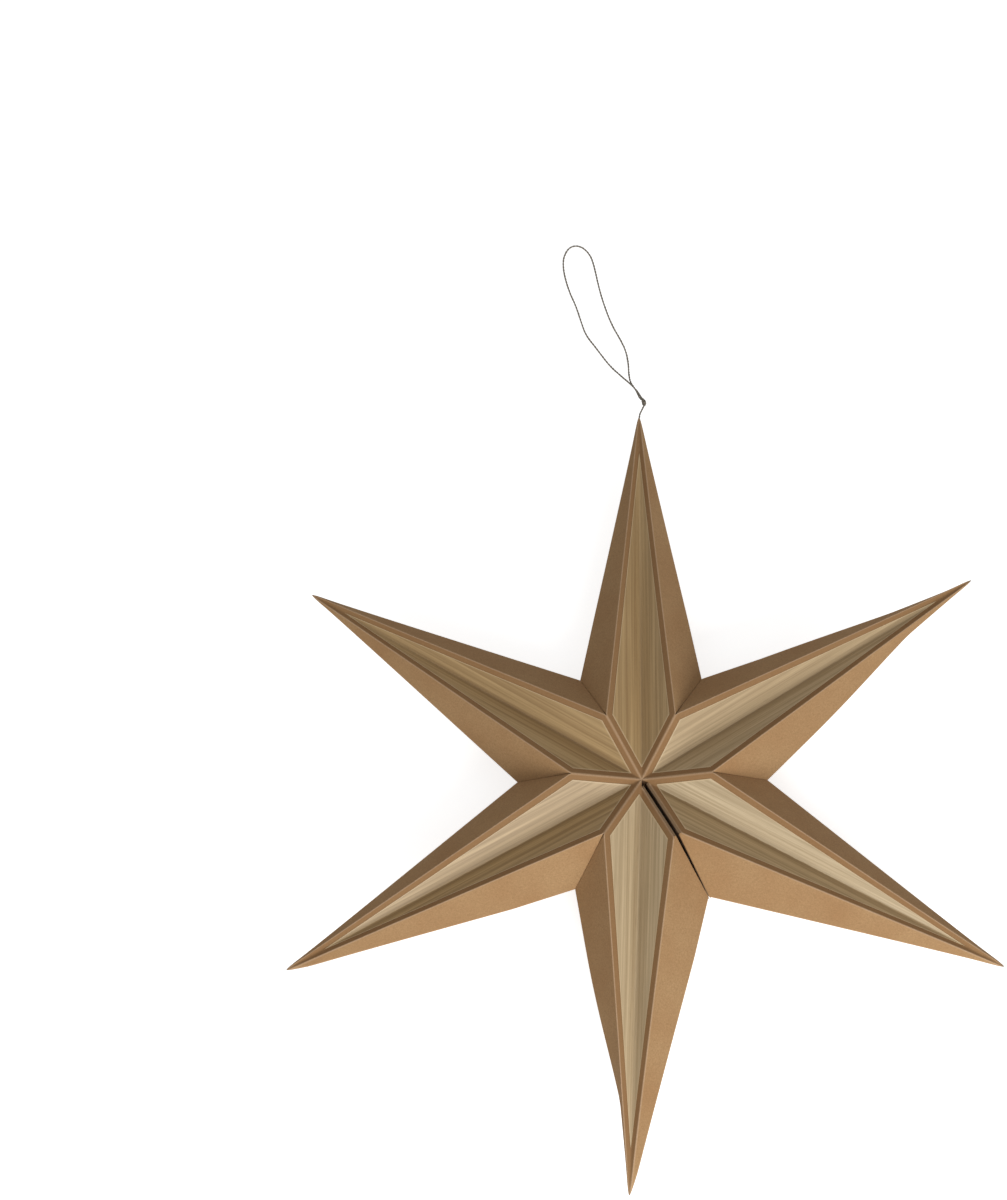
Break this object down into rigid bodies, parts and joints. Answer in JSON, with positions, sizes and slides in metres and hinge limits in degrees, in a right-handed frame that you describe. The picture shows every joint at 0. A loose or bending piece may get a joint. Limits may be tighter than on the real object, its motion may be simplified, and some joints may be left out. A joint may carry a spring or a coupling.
{
  "type": "folded paper star ornament",
  "caption": "Folded kraft-card star with long pointed hollow arms, wood-veneer facings and a twine loop to hang it by.",
  "frame": {"origin": "on the surface the star lies on, under the axis where its six arms meet", "axes": "+Z out of the star's face along that axis, +Y along the arm that carries the twine, +X to the right seen from the front"},
  "size_m": [0.3953, 0.5773, 0.05],
  "materials": {
    "kraft_card": "uncoated brown kraft card, matt, folded",
    "wood_veneer": "pale oiled oak-like veneer, fine straight grain, matt",
    "greyboard": "cut grey pulp board, matt",
    "magnet_plating": "bright nickel plate",
    "flax_twine": "two-ply twisted natural flax twine"
  },
  "bodies": {
    "root": {"arm_1": "kraft_card", "arm_2": "kraft_card", "arm_3": "kraft_card", "arm_4": "kraft_card", "arm_5": "kraft_card", "arm_6": "kraft_card", "front_facing_1": "wood_veneer", "front_facing_2": "wood_veneer", "front_facing_3": "wood_veneer", "front_facing_4": "wood_veneer", "front_facing_5": "wood_veneer", "front_facing_6": "wood_veneer", "back_facing_1": "wood_veneer", "back_facing_2": "wood_veneer", "back_facing_3": "wood_veneer", "back_facing_4": "wood_veneer", "back_facing_5": "wood_veneer", "back_facing_6": "wood_veneer", "end_board_1": "greyboard", "end_board_2": "greyboard", "closure_magnet_1_1": "magnet_plating", "closure_magnet_1_2": "magnet_plating", "closure_magnet_2_1": "magnet_plating", "closure_magnet_2_2": "magnet_plating", "twine_tail": "flax_twine", "twine_knot": "flax_twine", "hanging_loop": "flax_twine"}
  },
  "joints": []
}
